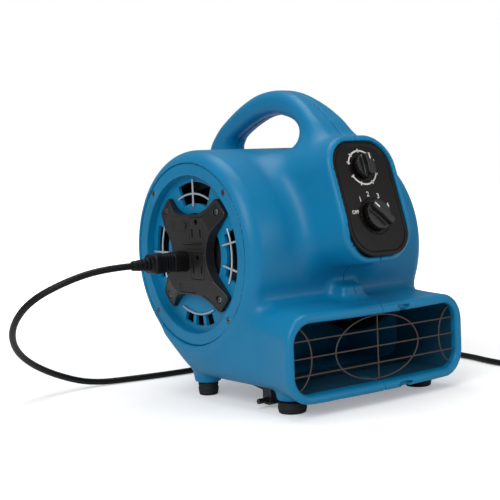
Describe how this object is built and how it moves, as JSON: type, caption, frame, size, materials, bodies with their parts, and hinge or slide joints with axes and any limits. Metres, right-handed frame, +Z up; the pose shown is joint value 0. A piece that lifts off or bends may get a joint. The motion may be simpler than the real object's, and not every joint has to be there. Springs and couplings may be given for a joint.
{
  "type": "air mover",
  "caption": "Compact centrifugal air mover: drum housing with a low outlet nozzle, tilted control pod, carrying handle, side inlet grille, outlet sockets and supply lead.",
  "frame": {"origin": "centre of the footprint box, on the floor", "axes": "+Z up, -Y the way the air is blown, +X towards the inlet grille side"},
  "size_m": [0.5747, 0.4545, 0.287],
  "materials": {
    "blue_housing": "satin moulded ABS",
    "black_plastic": "fine-textured moulded plastic",
    "control_panel": "satin",
    "knob_black": "semi-gloss",
    "grille_black": "satin",
    "fan_black": "satin",
    "outlet_wire": "satin dark coating",
    "guard_wire": "light coating",
    "stand_wire": "black coating",
    "stand_clip": "satin",
    "foot_rubber": "matte",
    "screw_steel": "black oxide",
    "sheet_steel": "zinc plated",
    "bell_aluminium": "die cast",
    "bearing_steel": "ground",
    "laminations": "stacked sheet",
    "copper": "enamelled copper",
    "cord_rubber": "matte jacket",
    "tie_black": "woven strap",
    "pin_brass": "bright"
  },
  "bodies": {
    "housing": {"bracket_screws": "screw_steel", "breaker_body": "black_plastic", "coil_tie": "tie_black", "control_panel": "control_panel", "cover_screws": "screw_steel", "foot_screws": "screw_steel", "front_bearing": "bearing_steel", "front_bell": "bell_aluminium", "front_foot_left": "foot_rubber", "front_foot_right": "foot_rubber", "grille_screws": "screw_steel", "housing_screws": "screw_steel", "inlet_grille": "grille_black", "inlet_ring": "fan_black", "kickstand_clip_left": "stand_clip", "kickstand_clip_right": "stand_clip", "lead_coil": "cord_rubber", "lead_gland": "cord_rubber", "lead_tail": "cord_rubber", "left_inlet_ring": "fan_black", "left_shell": "blue_housing", "lower_outlet": "black_plastic", "mains_lead": "cord_rubber", "mains_plug": "cord_rubber", "motor_bolts": "screw_steel", "motor_bracket": "sheet_steel", "motor_can": "sheet_steel", "motor_cover": "blue_housing", "outlet_grille": "outlet_wire", "panel_screws": "screw_steel", "plug_pins": "pin_brass", "power_panel": "black_plastic", "rear_bearing": "bearing_steel", "rear_bell": "bell_aluminium", "rear_foot_left": "foot_rubber", "rear_foot_right": "foot_rubber", "right_shell": "blue_housing", "run_capacitor": "black_plastic", "speed_switch": "black_plastic", "stator_core": "laminations", "stator_windings": "copper", "timer_body": "black_plastic", "upper_outlet": "black_plastic", "window_guards": "guard_wire"},
    "rotor": {"fan_wheel": "fan_black", "fan_hub": "bell_aluminium", "hub_screw": "screw_steel", "motor_shaft": "bearing_steel", "rotor_core": "laminations"},
    "timer_dial": {"timer_knob": "knob_black", "timer_spindle": "bearing_steel"},
    "speed_dial": {"speed_knob": "knob_black", "speed_spindle": "bearing_steel"},
    "reset_button": {"reset_button": "knob_black"},
    "kickstand": {"kickstand": "stand_wire"}
  },
  "joints": [
    {"name": "fan_spin", "type": "hinge", "parent": "housing", "child": "rotor", "pos_m": [0, 0.02812, 0.136], "axis": [1, 0, 0], "continuous": true},
    {"name": "timer_turn", "type": "hinge", "parent": "housing", "child": "timer_dial", "pos_m": [0, -0.09663, 0.21057], "axis": [0, 0.9466, -0.3223], "range_deg": [0, 300]},
    {"name": "speed_turn", "type": "hinge", "parent": "housing", "child": "speed_dial", "pos_m": [0, -0.11136, 0.16731], "axis": [0, 0.9466, -0.3223], "range_deg": [-33, 109]},
    {"name": "reset_press", "type": "slide", "parent": "housing", "child": "reset_button", "axis": [1, 0, 0], "range_m": [0, 0.0009], "stiffness_N_per_m": 400, "springref_m": -0.001},
    {"name": "kickstand_fold", "type": "hinge", "parent": "housing", "child": "kickstand", "pos_m": [0, -0.04988, 0.0072], "axis": [-1, 0, 0], "range_deg": [0, 100]}
  ]
}
